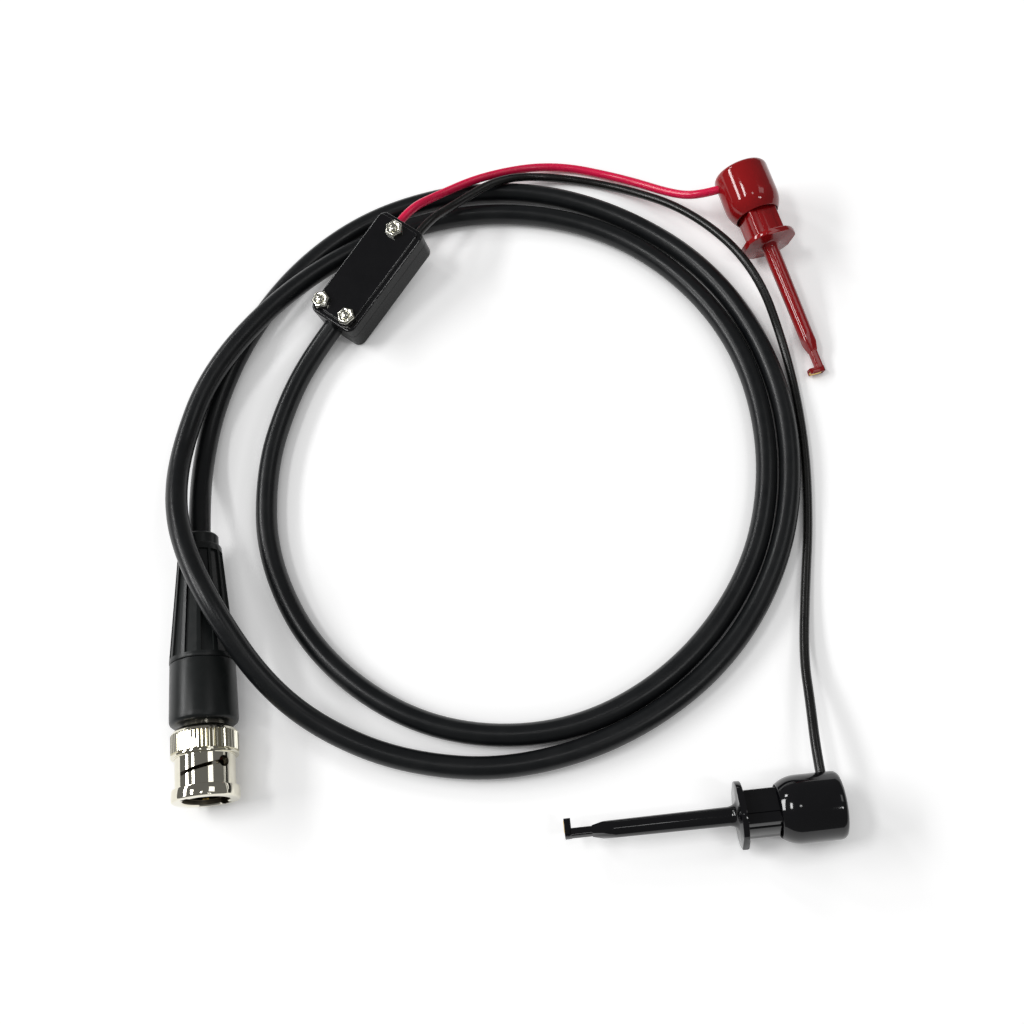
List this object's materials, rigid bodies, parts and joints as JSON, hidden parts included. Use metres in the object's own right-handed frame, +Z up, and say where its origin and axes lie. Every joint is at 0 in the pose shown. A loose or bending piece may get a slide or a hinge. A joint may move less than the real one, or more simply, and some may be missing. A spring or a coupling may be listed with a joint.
{
  "type": "coaxial test lead",
  "caption": "Test lead with a bayonet coaxial plug, a looped coaxial cable, a small screwed junction box and spring hook clips on thin leads.",
  "frame": {"origin": "centre of the box around the plug, the junction box and both clips in X and Y, at the surface that the lead lies on", "axes": "+Z up from the surface, the plug points along -Y on the -X side, the clips are on the +X side"},
  "size_m": [0.1554, 0.1762, 0.0185],
  "materials": {
    "nickel_plate": "bright nickel plate",
    "gold_plate": "gold plate on beryllium copper",
    "ptfe": "white fluoropolymer",
    "gasket_rubber": "reddish brown silicone rubber",
    "spring_steel": "bare spring wire",
    "cable_jacket": "satin black PVC",
    "dielectric": "natural polyethylene",
    "boot_rubber": "matte charcoal rubber",
    "box_plastic": "glossy black cover, satin sides",
    "brass_ring": "plain brass",
    "copper_wire": "tinned copper",
    "red_lead_jacket": "glossy crimson PVC",
    "black_lead_jacket": "glossy black PVC",
    "red_clip_plastic": "glossy deep red nylon",
    "black_clip_plastic": "glossy black nylon"
  },
  "bodies": {
    "lead": {"connector_body": "nickel_plate", "center_pin": "gold_plate", "contact_insulator": "ptfe", "seal_gasket": "gasket_rubber", "spring_washer": "spring_steel", "crimp_ferrule": "nickel_plate", "plug_cable_end": "cable_jacket", "plug_cable_core": "dielectric", "boot_collar": "boot_rubber", "boot_sleeve": "boot_rubber", "box_base": "box_plastic", "box_cover": "box_plastic", "box_screws": "nickel_plate", "box_nuts": "nickel_plate", "box_cable_end": "cable_jacket", "cable_crimp_ring": "brass_ring", "box_cable_core": "dielectric", "signal_wire": "copper_wire", "ground_braid": "copper_wire", "signal_splice": "copper_wire", "ground_splice": "copper_wire", "red_lead_root": "red_lead_jacket", "black_lead_root": "black_lead_jacket", "coax_cable": "cable_jacket", "red_lead": "red_lead_jacket", "black_lead": "black_lead_jacket", "red_cap": "red_clip_plastic", "red_hook": "gold_plate", "red_spring": "spring_steel", "red_terminal": "copper_wire", "red_lead_end": "red_lead_jacket", "black_cap": "black_clip_plastic", "black_hook": "gold_plate", "black_spring": "spring_steel", "black_terminal": "copper_wire", "black_lead_end": "black_lead_jacket"},
    "plug_washer": {"slip_washer": "nickel_plate"},
    "plug_nut": {"coupling_nut": "nickel_plate"},
    "red_plunger": {"red_barrel": "red_clip_plastic"},
    "black_plunger": {"black_barrel": "black_clip_plastic"}
  },
  "joints": [
    {"name": "nut_float", "type": "slide", "parent": "lead", "child": "plug_washer", "axis": [0.1271, -0.9919, 0], "range_m": [0, 0.0006], "stiffness_N_per_m": 3000, "deforming": ["spring_washer"]},
    {"name": "nut_turn", "type": "hinge", "parent": "plug_washer", "child": "plug_nut", "pos_m": [-0.06448, -0.06475, 0.00735], "axis": [-0.1271, 0.9919, 0], "continuous": true},
    {"name": "red_squeeze", "type": "slide", "parent": "lead", "child": "red_plunger", "axis": [-0.2935, 0.9422, 0.1616], "range_m": [0, 0.0044], "stiffness_N_per_m": 300, "springref_m": -0.002, "deforming": ["red_spring"]},
    {"name": "black_squeeze", "type": "slide", "parent": "lead", "child": "black_plunger", "axis": [0.9956, 0.0941, 0.0035], "range_m": [0, 0.0044], "stiffness_N_per_m": 300, "springref_m": -0.002, "deforming": ["black_spring"]}
  ]
}
